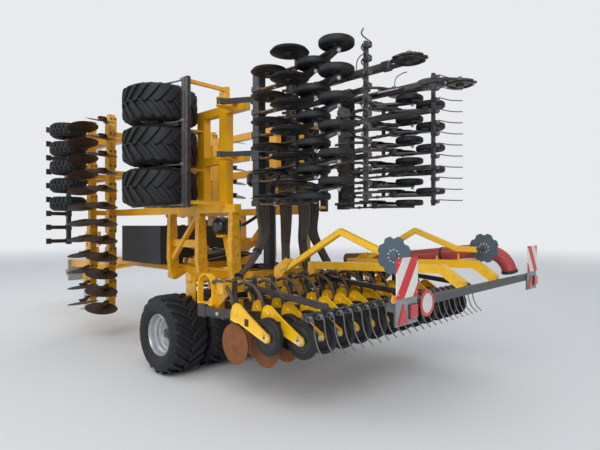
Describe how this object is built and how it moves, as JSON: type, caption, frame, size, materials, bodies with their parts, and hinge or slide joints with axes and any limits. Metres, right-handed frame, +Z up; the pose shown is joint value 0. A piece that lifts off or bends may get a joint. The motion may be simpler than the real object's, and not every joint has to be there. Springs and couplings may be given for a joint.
{
  "type": "folded seed drill",
  "caption": "Trailed pneumatic seed drill with its wings folded upright, on its centre packer tyres and parking jack.",
  "frame": {"origin": "on the ground under the middle of the machine's box", "axes": "+Y forward towards the hitch, +Z up, +X to the machine's right"},
  "size_m": [3.2, 9.43, 3.4],
  "materials": {
    "frame_paint": "amber yellow gloss paint",
    "slate_paint": "dark slate paint",
    "tyre_rubber": "matt black tread rubber",
    "rusty_steel": "rusted steel",
    "grey_steel": "grey steel",
    "hose_red": "ribbed red hose",
    "hose_black": "ribbed black hose",
    "board_white": "reflective sheet",
    "cover_grey": "dark grey sheet",
    "zinc": "zinc-plated steel"
  },
  "bodies": {
    "centre": {"centre_frame": "frame_paint", "drawbar": "frame_paint", "hitch_head": "grey_steel", "equipment_box": "cover_grey", "seed_tower": "slate_paint", "seed_hoses": "hose_black"},
    "jack": {"jack_leg": "zinc"},
    "centre_packer_left": {"packer_left": "tyre_rubber"},
    "centre_packer_right": {"packer_right": "tyre_rubber"},
    "lift_centre": {"lift_arms_centre": "slate_paint"},
    "seed_centre": {"seed_bars_centre": "frame_paint", "coulters_centre": "slate_paint", "rear_frame": "frame_paint", "harrow_centre": "grey_steel", "warning_boards": "board_white", "lamp_beam": "grey_steel", "air_hose": "hose_red", "line_marker_left": "frame_paint", "line_marker_right": "frame_paint"},
    "wing_left": {"wing_arms_left": "frame_paint", "wing_frame_left": "frame_paint", "gang_discs_left": "rusty_steel", "levelling_bar_left": "slate_paint"},
    "wing_packer_left": {"wing_packer_left": "tyre_rubber"},
    "front_tyres_left": {"front_tyres_left": "tyre_rubber"},
    "lift_left": {"lift_arms_left": "slate_paint"},
    "seed_left": {"seed_bars_left": "slate_paint", "coulters_left": "slate_paint", "harrow_left": "grey_steel"},
    "bout_marker_left": {"bout_marker_left": "slate_paint"},
    "fold_barrel_left": {"fold_barrel_left": "slate_paint"},
    "fold_rod_left": {"fold_rod_left": "zinc"},
    "wing_right": {"wing_arms_right": "frame_paint", "wing_frame_right": "frame_paint", "gang_discs_right": "rusty_steel", "levelling_bar_right": "slate_paint"},
    "wing_packer_right": {"wing_packer_right": "tyre_rubber"},
    "front_tyres_right": {"front_tyres_right": "tyre_rubber"},
    "lift_right": {"lift_arms_right": "slate_paint"},
    "seed_right": {"seed_bars_right": "slate_paint", "coulters_right": "slate_paint", "harrow_right": "grey_steel"},
    "bout_marker_right": {"bout_marker_right": "slate_paint"},
    "fold_barrel_right": {"fold_barrel_right": "slate_paint"},
    "fold_rod_right": {"fold_rod_right": "zinc"}
  },
  "joints": [
    {"name": "centre_packer_left_turn", "type": "hinge", "parent": "centre", "child": "centre_packer_left", "pos_m": [-0.75, -1.585, 0.45], "axis": [1, 0, 0], "continuous": true},
    {"name": "centre_packer_right_turn", "type": "hinge", "parent": "centre", "child": "centre_packer_right", "pos_m": [0.75, -1.585, 0.45], "axis": [1, 0, 0], "continuous": true},
    {"name": "jack_lift", "type": "slide", "parent": "centre", "child": "jack", "axis": [0, 0, 1], "range_m": [0, 0.3]},
    {"name": "seed_lift_centre", "type": "hinge", "parent": "centre", "child": "lift_centre", "pos_m": [0, -2.075, 0.66], "axis": [1, 0, 0], "range_deg": [0, 56]},
    {"name": "seed_level_centre", "type": "hinge", "parent": "lift_centre", "child": "seed_centre", "pos_m": [0, -2.44, 0.86], "axis": [1, 0, 0], "range_deg": [-56, 0]},
    {"name": "wing_fold_left", "type": "hinge", "parent": "centre", "child": "wing_left", "pos_m": [-0.6, -1.585, 1], "axis": [0, -1, 0], "range_deg": [0, 90]},
    {"name": "wing_packer_left_turn", "type": "hinge", "parent": "wing_left", "child": "wing_packer_left", "pos_m": [-1.15, -1.135, 2.65], "axis": [0, 0, 1], "continuous": true},
    {"name": "front_tyres_left_turn", "type": "hinge", "parent": "wing_left", "child": "front_tyres_left", "pos_m": [-1.2, 1.765, 2.65], "axis": [0, 0, 1], "continuous": true},
    {"name": "seed_lift_left", "type": "hinge", "parent": "wing_left", "child": "lift_left", "pos_m": [-0.94, -2.075, 2.8], "axis": [0, 0, -1], "range_deg": [0, 56]},
    {"name": "seed_level_left", "type": "hinge", "parent": "lift_left", "child": "seed_left", "pos_m": [-0.74, -2.44, 2.8], "axis": [0, 0, -1], "range_deg": [-56, 0]},
    {"name": "bout_marker_left_swing", "type": "hinge", "parent": "seed_left", "child": "bout_marker_left", "pos_m": [-0.4, -2.805, 3.2], "axis": [-1, 0, 0], "range_deg": [0, 90]},
    {"name": "fold_barrel_left_pivot", "type": "hinge", "parent": "centre", "child": "fold_barrel_left", "pos_m": [0.65, -0.785, 1.22], "axis": [0, -1, 0], "range_deg": [0, 3.67]},
    {"name": "fold_rod_left_stroke", "type": "slide", "parent": "fold_barrel_left", "child": "fold_rod_left", "axis": [-0.9897, 0, 0.143], "range_m": [0, 0.6979]},
    {"name": "wing_fold_right", "type": "hinge", "parent": "centre", "child": "wing_right", "pos_m": [0.6, -1.585, 1], "axis": [0, 1, 0], "range_deg": [0, 90]},
    {"name": "wing_packer_right_turn", "type": "hinge", "parent": "wing_right", "child": "wing_packer_right", "pos_m": [1.15, -1.135, 2.65], "axis": [0, 0, 1], "continuous": true},
    {"name": "front_tyres_right_turn", "type": "hinge", "parent": "wing_right", "child": "front_tyres_right", "pos_m": [1.2, 1.765, 2.65], "axis": [0, 0, 1], "continuous": true},
    {"name": "seed_lift_right", "type": "hinge", "parent": "wing_right", "child": "lift_right", "pos_m": [0.94, -2.075, 2.8], "axis": [0, 0, 1], "range_deg": [0, 56]},
    {"name": "seed_level_right", "type": "hinge", "parent": "lift_right", "child": "seed_right", "pos_m": [0.74, -2.44, 2.8], "axis": [0, 0, 1], "range_deg": [-56, 0]},
    {"name": "bout_marker_right_swing", "type": "hinge", "parent": "seed_right", "child": "bout_marker_right", "pos_m": [0.4, -2.805, 3.2], "axis": [-1, 0, 0], "range_deg": [0, 90]},
    {"name": "fold_barrel_right_pivot", "type": "hinge", "parent": "centre", "child": "fold_barrel_right", "pos_m": [-0.65, -0.985, 1.22], "axis": [0, 1, 0], "range_deg": [0, 3.67]},
    {"name": "fold_rod_right_stroke", "type": "slide", "parent": "fold_barrel_right", "child": "fold_rod_right", "axis": [0.9897, 0, 0.143], "range_m": [0, 0.6979]}
  ],
  "couplings": [
    {"joint": "seed_level_centre", "follows": "seed_lift_centre", "ratio": -1},
    {"joint": "seed_level_left", "follows": "seed_lift_left", "ratio": -1},
    {"joint": "fold_barrel_left_pivot", "follows": "wing_fold_left", "ratio": 0.039713},
    {"joint": "fold_rod_left_stroke", "follows": "wing_fold_left", "m_per_rad": 0.44304},
    {"joint": "seed_level_right", "follows": "seed_lift_right", "ratio": -1},
    {"joint": "fold_barrel_right_pivot", "follows": "wing_fold_right", "ratio": 0.039713},
    {"joint": "fold_rod_right_stroke", "follows": "wing_fold_right", "m_per_rad": 0.44304}
  ]
}
